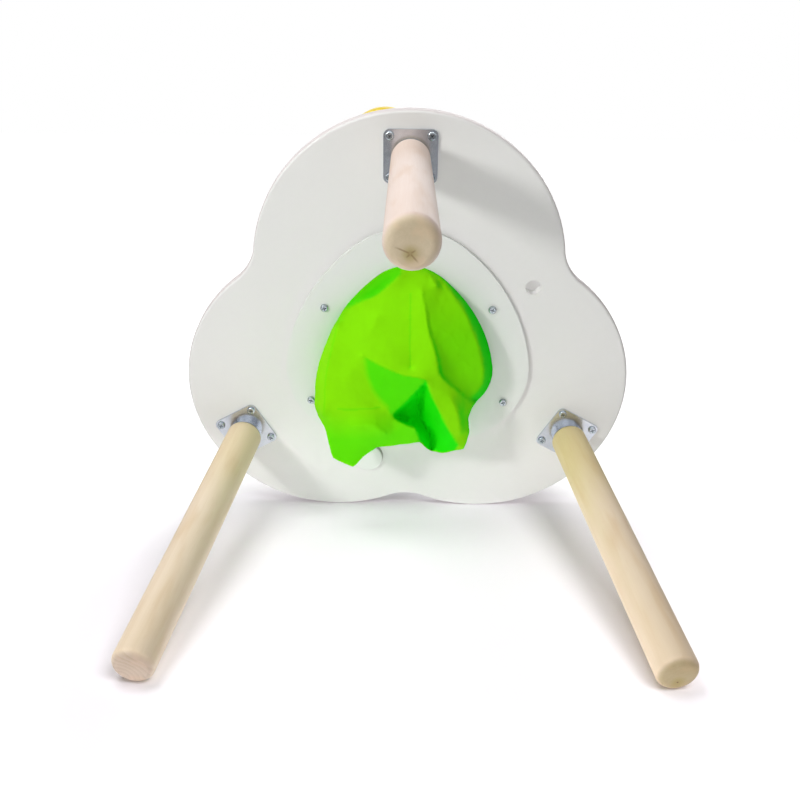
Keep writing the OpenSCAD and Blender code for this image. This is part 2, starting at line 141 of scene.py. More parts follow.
class Graph:
    """A node tree with short ways to make its nodes."""

    MIX_INPUTS = (0, 6, 7)
    MIX_RESULT = 2

    def __init__(self, tree: bpy.types.NodeTree) -> None:
        """Start from a tree, which is cleared."""
        self.tree = tree
        tree.nodes.clear()

    def node(
        self, kind: str, inputs: dict[Union[str, int], Input] | None = None, **settings: object
    ) -> bpy.types.Node:
        """Make one node.

        Args:
            kind: the node's type name.
            inputs: what goes into its sockets, by name or index.
            settings: the node's own properties.

        Returns:
            The node.
        """
        made = self.tree.nodes.new(kind)
        for key, value in settings.items():
            setattr(made, key, value)
        for key, value in (inputs or {}).items():
            if isinstance(value, Sock):
                self.tree.links.new(value.socket, made.inputs[key])
            else:
                made.inputs[key].default_value = value
        return made

    def out(self, made: bpy.types.Node, key: Union[str, int] = 0) -> Sock:
        """Return an output of a node, by name or index."""
        return Sock(self, made.outputs[key])

    def math(self, operation: str, *values: Value) -> Sock:
        """Return the result of one Math node."""
        return self.out(self.node("ShaderNodeMath", dict(enumerate(values)), operation=operation))

    def hypot(self, x: Sock, y: Sock) -> Sock:
        """Return the length of a flat vector."""
        return self.math("SQRT", x * x + y * y)

    def smooth(self, value: Value, low: float, high: float) -> Sock:
        """Return a smooth rise from 0 at low to 1 at high."""
        made = self.node("ShaderNodeMapRange", {0: value, 1: low, 2: high}, interpolation_type="SMOOTHSTEP")
        return self.out(made)

    def fall(self, value: Value, low: float, high: float) -> Sock:
        """Return a smooth fall from 1 at low to 0 at high."""
        return 1.0 - self.smooth(value, low, high)

    def mix(self, factor: Value, first: Input, second: Input, blend: str = "MIX") -> Sock:
        """Mix two colours.

        Args:
            factor: 0 for the first, 1 for the second.
            first: the first colour.
            second: the second colour.
            blend: the way they are mixed.

        Returns:
            The mixed colour.
        """
        ends = [rgba(end) if isinstance(end, tuple) else end for end in (first, second)]
        inputs = dict(zip(self.MIX_INPUTS, (factor, *ends)))
        made = self.node("ShaderNodeMix", inputs, data_type="RGBA", blend_type=blend, clamp_factor=True)
        return self.out(made, self.MIX_RESULT)

    def vector(self, operation: str, first: Input, second: Input) -> Sock:
        """Return the vector that one Vector Math node gives."""
        return self.out(self.node("ShaderNodeVectorMath", {0: first, 1: second}, operation=operation))

    def dot(self, first: Input, second: Input) -> Sock:
        """Return the dot product of two vectors."""
        return self.out(self.node("ShaderNodeVectorMath", {0: first, 1: second}, operation="DOT_PRODUCT"), 1)

    def noise(self, where: Sock, scale: float, detail: float = 3.0, rough: float = 0.5) -> Sock:
        """Return a soft noise about 0.5, with its scale in cycles a metre and its finer layers."""
        made = self.node("ShaderNodeTexNoise", {"Vector": where, "Scale": scale, "Detail": detail, "Roughness": rough})
        return self.out(made)

    def drawn(self, where: Sock, scale: Point, detail: float = 3.0, rough: float = 0.5) -> Sock:
        """Return a soft noise with a scale of its own along each axis."""
        parts = (part * k for part, k in zip(self.split(where), scale))
        return self.noise(self.join(*parts), 1.0, detail, rough)

    def coords(self) -> Sock:
        """Return the object coordinates."""
        return self.out(self.node("ShaderNodeTexCoord"), "Object")

    def facing(self) -> Sock:
        """Return the surface normal in object space."""
        return self.out(self.node("ShaderNodeTexCoord"), "Normal")

    def up(self) -> Sock:
        """Return the upward part of the surface normal in object space."""
        return self.split(self.facing())[2]

    def split(self, vector: Sock) -> tuple[Sock, Sock, Sock]:
        """Return the three numbers of a vector."""
        made = self.node("ShaderNodeSeparateXYZ", {0: vector})
        return self.out(made, 0), self.out(made, 1), self.out(made, 2)

    def join(self, x: Value, y: Value, z: Value) -> Sock:
        """Return the vector of three numbers."""
        return self.out(self.node("ShaderNodeCombineXYZ", {0: x, 1: y, 2: z}))

    def turned(self, where: Sock, place: Matrix) -> Sock:
        """Move coordinates into the frame of a piece.

        Args:
            where: the object coordinates.
            place: the piece's frame: its axes and its origin.

        Returns:
            The coordinates in that frame.
        """
        back = place.inverted()
        inputs = {"Vector": where, "Location": back.to_translation(), "Rotation": back.to_euler()}
        return self.out(self.node("ShaderNodeMapping", inputs, vector_type="POINT"))

    def bump(self, height: Value, strength: float, distance: float) -> Sock:
        """Return the normal of a relief, with its strength and its depth in metres."""
        made = self.node("ShaderNodeBump", {"Height": height, "Strength": strength, "Distance": distance})
        return self.out(made)

    def principled(self, **inputs: Input) -> Sock:
        """Return the surface shader, from its sockets with _ for a space."""
        named = {key.replace("_", " "): value for key, value in inputs.items()}
        return self.out(self.node("ShaderNodeBsdfPrincipled", named))

    def end(self, shader: Sock, kind: str = "ShaderNodeOutputMaterial") -> None:
        """Lead a shader to the output."""
        self.node(kind, {"Surface": shader})


# --- Finishes ---


@dataclass(frozen=True)
class Finish:
    """A finish that makes a material of its own."""

    name: str

    def material(self) -> bpy.types.Material:
        """Make the material.

        Returns:
            The material, with the finish's surface.
        """
        made = bpy.data.materials.new(self.name)
        made.use_nodes = True
        g = Graph(made.node_tree)
        g.end(self.surface(g))
        return made

    def surface(self, g: Graph) -> Sock:
        """Return the surface shader, which each finish makes in its own way."""
        raise NotImplementedError


@dataclass(frozen=True)
class Paint(Finish):
    """Sprayed satin paint on a routed board or a turned toy; a shadow seam and a lit bore are given as x, y and
    radius: a dark line round the cap, partly its joint's gap and partly painted contact shadow, and painted light
    inside the hole.
    """

    colour: Colour
    rim: Colour | None = None
    roughness: float = 0.42
    mottle: float = 0.05
    grain: float = 0.0
    shadow_seam: Point | None = None
    lit_bore: Point | None = None
    lit_bore_span: tuple[float, float] = (0.3254, 0.3364)

    def surface(self, g: Graph) -> Sock:
        """Mottle the paint faintly and tint its upright edge faces, which is partly the edge's own tone and partly
        painted shade.

        Args:
            g: the graph.

        Returns:
            The shader.
        """
        where = g.coords()
        broad = g.noise(where, 14.0, 4.0)
        fine = g.noise(where, 160.0, 3.0)
        cloud = (broad - 0.5) * 0.7 + (fine - 0.5) * 0.5
        colour = g.mix(cloud + 0.5, scaled(self.colour, 1.0 - self.mottle), scaled(self.colour, 1.0 + self.mottle))
        # Edge tint on the upright faces and their rounding: partly the edge's own tone, partly painted shade.
        if self.rim is not None:
            colour = g.mix(g.fall(abs(g.up()), 0.45, 0.96) * 0.85, colour, self.rim)
        x, y, z = g.split(where)
        # Shadow seam: a dark line on the underside round the cap, partly the joint's gap and partly painted contact
        # shadow.
        if self.shadow_seam is not None:
            off = abs(g.hypot(x - self.shadow_seam[0], y - self.shadow_seam[1]) - self.shadow_seam[2])
            line = g.fall(off, 0.0003, 0.0012) * g.fall(g.up(), -0.9, -0.5)
            colour = g.mix(line * 0.8, colour, (0.20, 0.18, 0.16))
        # Painted light: the inside of the blind hole is paler than the board, standing in for more light than its
        # depth lets in.
        if self.lit_bore is not None:
            low, high = self.lit_bore_span
            away = g.hypot(x - self.lit_bore[0], y - self.lit_bore[1])
            inside = g.fall(away, self.lit_bore[2], self.lit_bore[2] + 0.0004)
            deep = g.smooth(z, low, low + 0.0004) * g.fall(z, high - 0.0006, high)
            colour = g.mix(inside * deep, colour, (0.97, 0.965, 0.955))
        spray = g.noise(where, 900.0, 2.0)
        fibre = g.drawn(where, (30.0, 420.0, 420.0))
        relief = spray * 0.6 + broad * 0.4 + (fibre - 0.5) * self.grain
        return g.principled(
            Base_Color=colour,
            Roughness=self.roughness + (fine - 0.5) * 0.16 + (broad - 0.5) * 0.08,
            Normal=g.bump(relief, 0.12, 0.0006),
        )


class FootMark(Enum):
    """What the end grain of a foot shows."""

    PLAIN = "plain"
    STAR = "star"
    HOLE = "hole"


@dataclass(frozen=True)
class Wood(Finish):
    """Bare pale hardwood, turned about the line from start to top, with its end grain."""

    start: Point
    top: Point
    heart: tuple[float, float]
    light: Colour = (0.79, 0.67, 0.52)
    dark: Colour = (0.66, 0.50, 0.33)
    end_light: Colour = (0.66, 0.55, 0.39)
    end_dark: Colour = (0.47, 0.35, 0.21)
    # high tints the leg's upper part near the board: partly a stain, partly painted green bounce light from the bag.
    high: Colour = WHITE
    rings: float = 0.1
    mark: FootMark = FootMark.PLAIN
    mark_at: tuple[float, float] = (0.0, 0.0)
    ring_width: float = 0.0042

    def axis(self) -> Vector:
        """Return the direction of the grain."""
        return (Vector(self.top) - Vector(self.start)).normalized()

    def place(self) -> Matrix:
        """Give the frame of the turned piece.

        Returns:
            Its axes, with z along the grain, and its origin.
        """
        z = self.axis()
        x = (X_AXIS - z * z.x).normalized()
        frame = Matrix((x, z.cross(x), z)).transposed().to_4x4()
        frame.translation = Vector(self.start)
        return frame

    def surface(self, g: Graph) -> Sock:
        """Draw growth rings about a heart that lies off the axis, long pores, and a darker end.

        Args:
            g: the graph.

        Returns:
            The shader.
        """
        where = g.turned(g.coords(), self.place())
        x, y, z = g.split(where)
        sway = g.drawn(where, (22.0, 22.0, 3.0), 2.0)
        radius = g.hypot(x - self.heart[0], y - self.heart[1]) + (sway - 0.5) * 0.006
        turns = g.math("FRACT", radius / self.ring_width)
        ring = g.smooth(turns, 0.15, 0.92) * g.fall(turns, 0.93, 1.0)
        pores = g.drawn(where, (950.0, 950.0, 26.0), 3.0, 0.6)
        cloud = g.drawn(where, (30.0, 30.0, 7.0))
        flecks = g.smooth(g.drawn(where, (420.0, 420.0, 60.0), 1.0), 0.62, 0.72)
        tone = ring * 0.14 + (pores - 0.5) * 0.34 + (cloud - 0.5) * 1.1 + flecks * 0.10 + 0.30
        side = g.mix(tone, self.light, self.dark)
        stain = g.smooth(g.drawn(where, (70.0, 70.0, 13.0), 2.0), 0.52, 0.74)
        side = g.mix(stain * 0.34, side, scaled(self.dark, 0.93, 0.83, 0.68))
        # Upper part tinted by high: partly a stain, partly painted bounce light from the bag.
        side = g.mix(g.smooth(z + (cloud - 0.5) * 0.12, 0.14, 0.30), side, g.mix(1.0, side, self.high, "MULTIPLY"))
        cut = g.smooth(abs(g.dot(g.facing(), tuple(self.axis()))), 0.25, 0.92)
        speck = g.noise(where, 700.0, 2.0)
        end_tone = ring * self.rings + (speck - 0.5) * 0.35 + (cloud - 0.5) * 1.6 + 0.3
        face = g.mix(end_tone, self.end_light, self.end_dark)
        blush = g.smooth(g.noise(g.join(x * 75.0, y * 75.0, 0.4), 1.0, 2.0), 0.46, 0.70)
        face = g.mix(blush * 0.45, face, scaled(self.end_light, 1.04, 0.93, 0.86))
        relief = pores * 0.5 + ring * 0.2
        if self.mark is not FootMark.PLAIN:
            px, py = x - self.mark_at[0], y - self.mark_at[1]
            away = g.hypot(px, py)
            face = g.mix(g.fall(away + (cloud - 0.5) * 0.012, 0.0, 0.0085) * 0.8, face, (0.38, 0.30, 0.11))
            # The cracks and the nail hole are drawn dark with a dent in the bump: painted shade in their hollows.
            mark = self.star(g, px, py) if self.mark is FootMark.STAR else g.fall(away, 0.0006, 0.0011) * 0.9
            face = g.mix(mark, face, (0.20, 0.115, 0.045))
            relief = relief - mark * 1.2
        return g.principled(
            Base_Color=g.mix(cut, side, face),
            Roughness=0.54 + (pores - 0.5) * 0.2 + cut * 0.16,
            Normal=g.bump(relief, 0.18, 0.0007),
        )

    def star(self, g: Graph, px: Sock, py: Sock) -> Sock:
        """Draw the drying cracks of the end grain, darkened with painted shade in them.

        Args:
            g: the graph.
            px: place across the end, from the star's middle.
            py: the other place across the end.

        Returns:
            How strongly the cracks show, from 0 to 1.
        """
        total = g.fall(g.hypot(px, py), 0.0002, 0.0030) * 0.25
        for angle, length in ((-2.75, 0.0115), (0.85, 0.0085), (-0.55, 0.0045), (2.3, 0.004)):
            out = px * math.cos(angle) + py * math.sin(angle)
            off = abs(py * math.cos(angle) - px * math.sin(angle))
            line = g.fall(off, 0.0002, 0.0008) * g.smooth(out, 0.0, 0.001)
            total = g.math("MAXIMUM", total, line * g.fall(out, length * 0.5, length) * 0.55)
        return total


@dataclass(frozen=True)
class Metal(Finish):
    """Plated steel with the cloudy spangle of the plating, whose wide dark clouds are partly painted dark reflections,
    and cross recesses at the heads of screws painted dark as shade.
    """

    colour: Colour
    dark: Colour
    roughness: float = 0.3
    spangle: float = 260.0
    heads: tuple[Point, ...] = ()

    def surface(self, g: Graph) -> Sock:
        """Mottle the metal in colour and roughness; the dark end of the mottle is partly the plating's spangle and
        partly painted dark reflections.

        Args:
            g: the graph.

        Returns:
            The shader.
        """
        where = g.coords()
        cloud = g.noise(where, 60.0, 4.0, 0.6)
        grain = g.noise(where, self.spangle, 3.0, 0.6)
        tone = (cloud - 0.5) * 1.3 + (grain - 0.5) * 0.5 + 0.5
        colour = g.mix(tone, self.dark, self.colour)
        relief = g.drawn(where, (240.0, 30.0, 60.0)) * 0.6 + grain * 0.4
        if self.heads:
            # Painted shade: the cross recess is painted near black, with a dent in the bump, in place of a hollow in
            # the mesh.
            cut = self.recess(g, where) * g.smooth(abs(g.up()), 0.5, 0.75)
            colour = g.mix(cut * 0.85, colour, (0.03, 0.035, 0.04))
            relief = relief - cut * 4.0
        return g.principled(
            Base_Color=colour,
            Metallic=1.0,
            Roughness=self.roughness + (grain - 0.5) * 0.12 + (cloud - 0.5) * 0.12,
            Normal=g.bump(relief, 0.10, 0.0006),
        )

    def recess(self, g: Graph, where: Sock) -> Sock:
        """Draw the cross recess in each screw's head, which is painted near black as shade.

        Args:
            g: the graph.
            where: the object coordinates.

        Returns:
            How strongly the recess shows, from 0 to 1.
        """
        x, y, _ = g.split(where)
        total: Value = 0.0
        for i, head in enumerate(self.heads):
            turn = 0.3 + i * 0.7
            px, py = x - head[0], y - head[1]
            a = abs(px * math.cos(turn) + py * math.sin(turn))
            b = abs(py * math.cos(turn) - px * math.sin(turn))
            arm = g.fall(g.math("MINIMUM", a, b), 0.00025, 0.00055)
            end = g.fall(g.math("MAXIMUM", a, b), 0.0013, 0.0018)
            total = g.math("MAXIMUM", total, arm * end)
        return total


@dataclass(frozen=True)
class Cloth(Finish):
    """Thin spunbond cloth with its pressed dots, which lets some light through."""

    colour: Colour
    deep: Colour
    through: Colour
    pitch: float = 0.0014
    clear: float = 0.18

    def surface(self, g: Graph) -> Sock:
        """Deepen the green by the piece's own attribute, which holds painted shade for the folds, the faces turned
        from the key lamp and the listed stretches.

        Args:
            g: the graph.

        Returns:
            The shader.
        """
        uv = g.out(g.node("ShaderNodeUVMap", uv_map="flat"))
        fold_shade = g.out(g.node("ShaderNodeAttribute", attribute_name="fold_shade"), "Fac")
        u, v, _ = g.split(uv)
        turn = 2.0 * math.pi / self.pitch
        dots = g.math("SINE", (u + v) * turn) * g.math("SINE", (u - v) * turn)
        press = g.smooth(dots, 0.35, 0.9)
        fibre = g.noise(uv, 2600.0, 3.0, 0.7)
        cloud = g.noise(g.coords(), 45.0, 4.0)
        tone = (cloud - 0.5) * 1.2 + (fibre - 0.5) * 0.5 + 0.5
        colour = g.mix(tone, scaled(self.colour, 0.93), scaled(self.colour, 1.06))
        normal = g.bump(fibre * 0.35 - press * 0.45 + cloud * 0.2, 0.25, 0.0004)
        # Painted shade: the green turns to the deep colour where the attribute says.
        cover = g.principled(
            Base_Color=g.mix(g.math("MAXIMUM", fold_shade, press * 0.12), colour, self.deep),
            Roughness=0.8 + (fibre - 0.5) * 0.2 - press * 0.12,
            Normal=normal,
            Specular_IOR_Level=0.06,
        )
        glow = g.node("ShaderNodeBsdfTranslucent", {"Color": rgba(self.through), "Normal": normal})
        return g.out(g.node("ShaderNodeMixShader", {0: self.clear, 1: cover, 2: g.out(glow)}))


@dataclass(frozen=True)
class Floor(Finish):
    """A white floor that is clear from behind and pure white away from the table.

    near is the part of its white that shadows leave close to the table, and white how much light it throws back there.
    """

    near: float
    white: float
    middle: Point = (0.0, 0.175, 0.08)
    fade: tuple[float, float] = (0.27, 0.41)
    bounce: float = 0.34

    def surface(self, g: Graph) -> Sock:
        """Add a glow to matt paper, all of it far from the table.

        Args:
            g: the graph.

        Returns:
            The shader.
        """
        where = g.vector("SUBTRACT", g.coords(), self.middle)
        far = g.smooth(g.math("SQRT", g.dot(where, where)), *self.fade)
        paper = (self.white,) * 3
        cover = g.mix(g.noise(where, 300.0, 2.0), scaled(paper, 0.98, 0.95, 1.0), scaled(paper, 0.995, 0.965, 1.02))
        matt = g.node("ShaderNodeBsdfDiffuse", {"Color": g.mix(far, cover, (0.25, 0.25, 0.25))})
        path = g.node("ShaderNodeLightPath")
        seen = g.out(path, "Is Camera Ray")
        soft = (1.0 - seen) * (self.bounce - g.out(path, "Is Glossy Ray") * far * self.bounce)
        glow = seen * (self.near + far * (1.0 - self.near)) + soft
        shine = g.node("ShaderNodeEmission", {"Color": rgba(WHITE), "Strength": glow})
        face = g.node("ShaderNodeAddShader", {0: g.out(matt), 1: g.out(shine)})
        clear = g.node("ShaderNodeBsdfTransparent")
        behind = g.out(g.node("ShaderNodeNewGeometry"), "Backfacing")
        return g.out(g.node("ShaderNodeMixShader", {0: behind, 1: g.out(face), 2: g.out(clear)}))


def lacquer(name: str, colour: Colour) -> Paint:
    """Return the satin lacquer of a toy, with some grain under it."""
    return Paint(name, colour, roughness=0.34, grain=0.5)


# The board's edge tint is partly the routed edge's own tone and partly painted shade on its walls and rounding.
WHITE_BOARD = Paint("white_board", (0.80, 0.805, 0.785), rim=(0.62, 0.56, 0.56), roughness=0.45, mottle=0.02)
WHITE_RING = Paint("white_ring", (0.79, 0.81, 0.785), mottle=0.02)
# The cap's dark edge tint is painted shade, a dark outline round the cap.
WHITE_CAP = replace(WHITE_RING, name="white_cap", rim=(0.36, 0.34, 0.33))
YELLOW = lacquer("yellow_paint", (0.66, 0.49, 0.006))
BLUE = lacquer("blue_paint", (0.30, 0.57, 0.78))
GREEN = lacquer("green_paint", (0.18, 0.50, 0.10))
ORANGE = lacquer("orange_paint", (0.80, 0.28, 0.03))
TURQUOISE = lacquer("turquoise_paint", (0.05, 0.48, 0.48))
RED = lacquer("red_paint", (0.66, 0.03, 0.03))
ZINC = Metal("zinc", (0.70, 0.73, 0.77), (0.46, 0.50, 0.57), roughness=0.22)
STEEL = Metal("screw_steel", (0.72, 0.77, 0.81), (0.20, 0.25, 0.29), roughness=0.14, spangle=700.0)
# The ring screws get a darker copy of the screw steel: painted shade and dark reflections.
SHADED_STEEL = Metal("ring_screw_steel_shaded", (0.60, 0.66, 0.68), (0.14, 0.18, 0.20), roughness=0.16, spangle=700.0)
# The bag's deep colour is the green that its painted shade turns to.
LIME = Cloth("green_cloth", (0.29, 0.88, 0.002), (0.002, 0.84, 0.001), (0.03, 0.78, 0.001))
FLOOR = Floor("floor_white", 0.04, 0.80)
LEVEL_FLOOR = Floor("floor_level_white", 0.58, 0.44)
UPRIGHT_WOOD = Wood("wood_upright", (0.0, 0.0, 0.0), (0.0, 0.0, 1.0), (0.3, 0.2))
ROD_WOOD = Wood("wood_rod", (0.15, 0.12, 0.37), (-0.35, 0.986, 0.37), (0.01, 0.01))
LEG_WOODS: dict[str, Wood] = {
    "leg_front": Wood(
        "wood_leg_front",
        (0.0, -0.2088, 0.0014),
        (0.0, -0.16877, 0.3185),
        heart=(-0.001, 0.0052),
        light=(0.74, 0.63, 0.575),
        dark=(0.645, 0.495, 0.415),
        end_light=(0.68, 0.57, 0.41),
        end_dark=(0.48, 0.39, 0.24),
        high=(1.0, 0.98, 0.95),
        rings=0.05,
        mark=FootMark.STAR,
        mark_at=(-0.001, 0.0052),
    ),
    "leg_left": Wood(
        "wood_leg_left",
        (-0.2156, 0.1473, 0.0014),
        (-0.17178, 0.12924, 0.3185),
        heart=(-0.011, 0.012),
        light=(0.76, 0.64, 0.50),
        dark=(0.63, 0.49, 0.32),
        end_light=(0.58, 0.475, 0.385),
        end_dark=(0.43, 0.33, 0.24),
        high=(0.98, 0.98, 0.88),
        rings=0.34,
    ),
    "leg_right": Wood(
        "wood_leg_right",
        (0.2156, 0.1473, 0.0014),
        (0.17178, 0.12924, 0.3185),
        heart=(0.012, 0.022),
        light=(0.80, 0.66, 0.50),
        dark=(0.70, 0.53, 0.34),
        end_light=(0.49, 0.40, 0.24),
        end_dark=(0.37, 0.28, 0.135),
        high=(0.93, 0.95, 0.70),
        rings=0.08,
        mark=FootMark.HOLE,
        mark_at=(0.0, 0.007),
    ),
}


class Assembly:
    """A sub-assembly that dresses nodes of the frame and builds pieces on them."""

    def __init__(self, frame: dict) -> None:
        self.frame = frame

    def dress_all(self, finish: Finish, *names: str) -> None:
        """Dress several nodes in one finish.

        Args:
            finish: the finish.
            names: the nodes.
        """
        material = finish.material()
        for name in names:
            node = self.frame["nodes"][name]
            if not node.material_slots:
                node.data.materials.append(material)
            for slot in node.material_slots:
                slot.material = material
            LOG.info("dressed %s in %s", name, material.name)


# --- Board, legs and toys ---


@dataclass(frozen=True)
class BoardSize:
    """The blind hole as x, y and radius, and a width that holds one screw, in metres."""

    stick_hole: Point = (0.1226, -0.0409, 0.0075)
    screw_width: float = 0.012


class Tabletop(Assembly):
    """The white board with the ring that holds the bag, its screws and the axle's cap."""

    size = BoardSize()

    def dress(self) -> None:
        """Give the board, ring, cap and screws their finishes."""
        low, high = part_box("axle_cap")
        # The board gets a painted contact shadow round the cap and painted light inside the blind hole.
        middle = (low + high) / 2.0
        shadow_seam = (middle.x, middle.y, (high.x - low.x) / 2.0)
        self.dress_all(replace(WHITE_BOARD, shadow_seam=shadow_seam, lit_bore=self.size.stick_hole), "table_top")
        self.dress_all(WHITE_RING, "bag_ring")
        self.dress_all(WHITE_CAP, "axle_cap")
        for name, steel in (("ring_screws", SHADED_STEEL), ("plate_screws", STEEL)):
            self.dress_all(replace(steel, heads=self.heads(name)), name)

    def heads(self, name: str) -> tuple[Point, ...]:
        """Find the screws of a node.

        Args:
            name: the node that holds the screws.

        Returns:
            The middle of each screw, in metres.
        """
        groups: list[list[Vector]] = []
        for vert in self.frame["nodes"][name].data.vertices:
            close = (group for group in groups if (group[0] - vert.co).to_2d().length < self.size.screw_width)
            near = next(close, None)
            if near is None:
                groups.append([vert.co.copy()])
            else:
                near.append(vert.co.copy())
        return tuple(
            tuple((min(v[k] for v in group) + max(v[k] for v in group)) / 2.0 for k in range(3)) for group in groups
        )


class LegSet(Assembly):
    """The three turned legs with their steel plates, nuts and bolts."""

    def dress(self) -> None:
        """Give each leg its own wood and the plates their plating."""
        for name, wood in LEG_WOODS.items():
            self.dress_all(wood, name)
        self.dress_all(ZINC, "leg_plate_front", "leg_plate_left", "leg_plate_right", "leg_nuts", "leg_bolts")


class PlaySide(Assembly):
    """The toys on the upper side of the board."""

    def dress(self) -> None:
        """Give the toys their lacquers and the turned pieces their wood."""
        self.dress_all(YELLOW, "spinner_disc", "bead_middle")
        self.dress_all(BLUE, "sorter_lid", "bead_right")
        self.dress_all(GREEN, "drive_gear")
        self.dress_all(ORANGE, "middle_gear")
        self.dress_all(TURQUOISE, "small_gear")
        self.dress_all(RED, "bead_left")
        turned = ("spinner_peg", "gear_pegs", "spinner_cap", "gear_caps", "drive_axle", "drive_knob", "rail_posts")
        self.dress_all(UPRIGHT_WOOD, *turned)
        self.dress_all(ROD_WOOD, "rail_rod")


# --- The bag ---


@dataclass(frozen=True)
class Mouth:
    """The rounded triangle of the ring's opening, in mm, with one tip to the front."""

    centre: tuple[float, float] = (0.0, 29.889)
    tip: float = 94.0
    side: float = 79.0
    corner: float = 49.0

    def radius(self, angle: float) -> float:
        """Give the outline's distance from its centre.

        Args:
            angle: direction in degrees, anticlockwise from +X.

        Returns:
            The distance in mm.
        """
        reach = self.tip - self.corner
        fall = self.side - self.corner
        back = (reach * reach - fall * fall) / (2.0 * fall - reach)
        big = self.side + back
        from_side = (angle - 90.0 + 60.0) % 120.0 - 60.0
        join = Vector((1.0, 0.0)) * back + Vector((0.5, math.sqrt(0.75))) * reach
        touch = join.normalized() * big - Vector((back, 0.0))
        limit = math.degrees(math.atan2(touch.y, touch.x))
        if abs(from_side) <= limit:
            turn = math.radians(from_side)
            return math.sqrt(big * big - (back * math.sin(turn)) ** 2) - back * math.cos(turn)
        turn = math.radians(60.0 - abs(from_side))
        return reach * math.cos(turn) + math.sqrt(self.corner**2 - (reach * math.sin(turn)) ** 2)

    def point(self, angle: float, height: float, inset: float = 0.0) -> Vector:
        """Give a point of the outline.

        Args:
            angle: direction in degrees.
            height: its z in mm.
            inset: how far inside the outline it lies, in mm.

        Returns:
            The point in mm.
        """
        out = self.radius(angle) - inset
        turn = math.radians(angle)
        return Vector((self.centre[0] + out * math.cos(turn), self.centre[1] + out * math.sin(turn), height))


# The bag's fold lines and lower edge as points in mm, and how much shade is painted along its sharpest creases.
FOLDS: dict[str, tuple[Point, ...]] = {
    "gutter": (
        (-58.6, -24.8, 315.5), (-47.3, -30.0, 316.5), (-35.5, -35.7, 316.5), (-22.5, -46.4, 316.5),
        (-10.3, -58.9, 316.5),
    ),
    "gutter_lip": (
        (-57.9, -23.8, 311.5), (-45.8, -32.2, 305.5), (-33.6, -38.3, 304.5), (-20.6, -48.8, 305.5),
        (-8.3, -59.3, 310.5),
    ),
    "crown": (
        (-8.3, -59.3, 310.5), (1.3, -57.5, 312.5), (12.6, -58.0, 313.5), (23.3, -55.4, 314.5), (31.3, -50.9, 314.5),
    ),
    "pleat_ridge": ((19.7, -58.0, 314.5), (26.8, -50.3, 303.5)),
    "pleat_valley": ((27.3, -53.4, 317.5), (32.8, -45.4, 310.5)),
    "main_crease": ((1.8, -44.1, 299.5), (1.8, -25.5, 289.5), (1.8, -3.5, 280.0), (2.4, 19.7, 269.5)),
    "main_left": ((-29.3, -24.2, 291.5), (-34.8, -10.8, 283.5), (-29.0, -0.7, 278.5)),
    "lip": (
        (12.0, -47.4, 297.5), (16.4, -30.2, 286.5), (19.5, -13.5, 279.5), (23.2, -3.0, 275.5), (28.2, 12.9, 269.5),
        (30.2, 25.7, 266.5), (40.0, 39.3, 270.5), (50.9, 51.8, 276.5), (60.5, 63.7, 283.5),
    ),
    "under_lip": (
        (14.5, -46.0, 299.0), (19.0, -29.2, 290.5), (22.2, -12.3, 284.5), (25.9, -1.2, 281.5), (31.5, 16.9, 279.5),
        (33.6, 30.1, 278.0), (42.2, 41.7, 279.5), (52.6, 52.1, 282.0), (62.2, 64.0, 287.5),
    ),
    "right_panel": (
        (28.5, -38.5, 302.5), (38.7, -23.2, 295.5), (46.5, 0.7, 289.5), (56.1, 25.5, 287.5), (62.9, 45.9, 288.5),
    ),
    "right_edge": (
        (35.6, -48.3, 313.5), (42.0, -41.0, 307.5), (50.7, -30.7, 301.5), (58.2, -18.6, 297.5), (65.6, -0.3, 294.5),
        (72.0, 19.7, 292.5), (75.4, 39.5, 292.5), (73.9, 53.6, 293.5), (68.4, 66.3, 294.5),
    ),
    "left_line": ((-68.3, -14.6, 300.5), (-73.5, 5.1, 285.5), (-80.7, 36.1, 273.5), (-82.6, 74.0, 266.5)),
    "brow": ((-44.3, 7.5, 269.5), (-25.8, 15.2, 263.5), (-6.0, 22.4, 259.5), (6.7, 24.5, 258.5), (18.1, 27.7, 259.5)),
    "valley": (
        (-44.3, 8.1, 270.0), (-42.0, 28.7, 270.0), (-36.3, 45.9, 268.5), (-28.9, 56.9, 267.5), (-21.6, 65.2, 267.5),
    ),
    "pocket_left": (
        (18.1, 27.7, 259.5), (2.2, 53.4, 267.5), (-14.3, 74.3, 268.5), (-1.1, 82.3, 264.5), (8.1, 88.0, 267.5),
        (13.0, 106.8, 273.5),
    ),
    "pocket_under": ((15.6, 45.6, 279.5), (3.7, 67.8, 285.5), (-8.9, 83.1, 283.5), (0.5, 91.2, 285.5)),
    "pocket_floor": ((10.9, 67.1, 291.5), (12.6, 93.5, 297.5), (23.4, 112.3, 298.5), (25.9, 131.0, 293.5)),
    "pocket_right": (
        (18.1, 27.7, 259.5), (23.1, 46.3, 263.5), (30.7, 62.3, 262.5), (40.2, 83.9, 264.5), (53.1, 110.2, 271.5),
    ),
    "flap": ((41.8, 51.9, 266.5), (49.6, 68.1, 265.5), (53.7, 92.3, 268.5)),
    "low_crease": ((-68.0, 65.8, 266.0), (-53.5, 65.5, 265.0), (-37.5, 63.7, 264.0), (-26.6, 63.9, 267.5)),
    "low_left": ((-60.3, 36.3, 268.5), (-51.6, 24.2, 270.5)),
    "low_panel": ((-54.9, 81.9, 260.5), (-34.5, 78.6, 258.5), (-21.5, 90.7, 261.5)),
}
